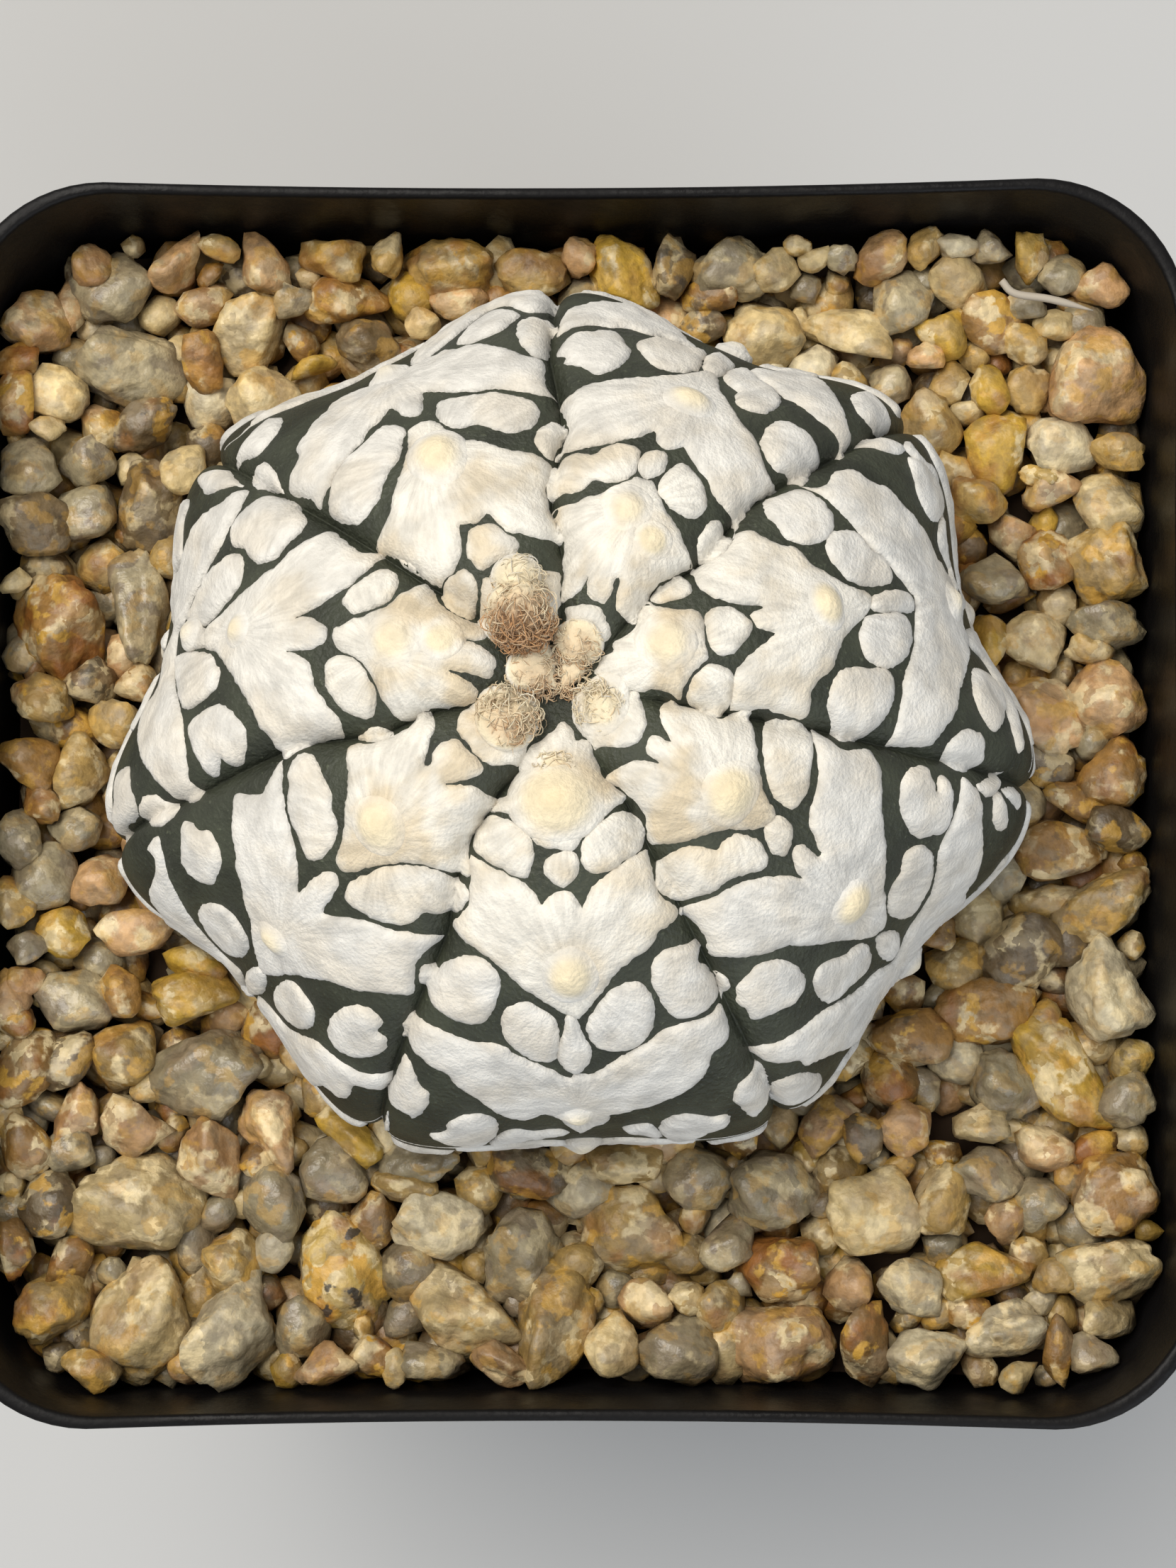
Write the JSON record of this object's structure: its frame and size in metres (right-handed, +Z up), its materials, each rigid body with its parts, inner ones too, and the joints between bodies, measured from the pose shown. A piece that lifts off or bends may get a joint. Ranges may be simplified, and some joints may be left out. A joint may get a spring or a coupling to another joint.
{
  "type": "potted star cactus",
  "caption": "Low domed star cactus with white felt bands over dark green ribs, in a square black nursery pot with a gravel top dressing.",
  "frame": {"origin": "under the middle of the square pot, on the surface that it stands on", "axes": "+Z up; the pot's sides face along X and Y, and the picture's upper edge is towards +Y"},
  "size_m": [0.09, 0.09, 0.1053],
  "materials": {
    "pot": "satin",
    "potting_mix": "matte",
    "gravel": "matte",
    "cactus": "matte",
    "crown_wool": "matte"
  },
  "bodies": {
    "root": {"pot": "pot", "potting_mix": "potting_mix", "gravel": "gravel", "cactus": "cactus", "crown_wool": "crown_wool"}
  },
  "joints": []
}
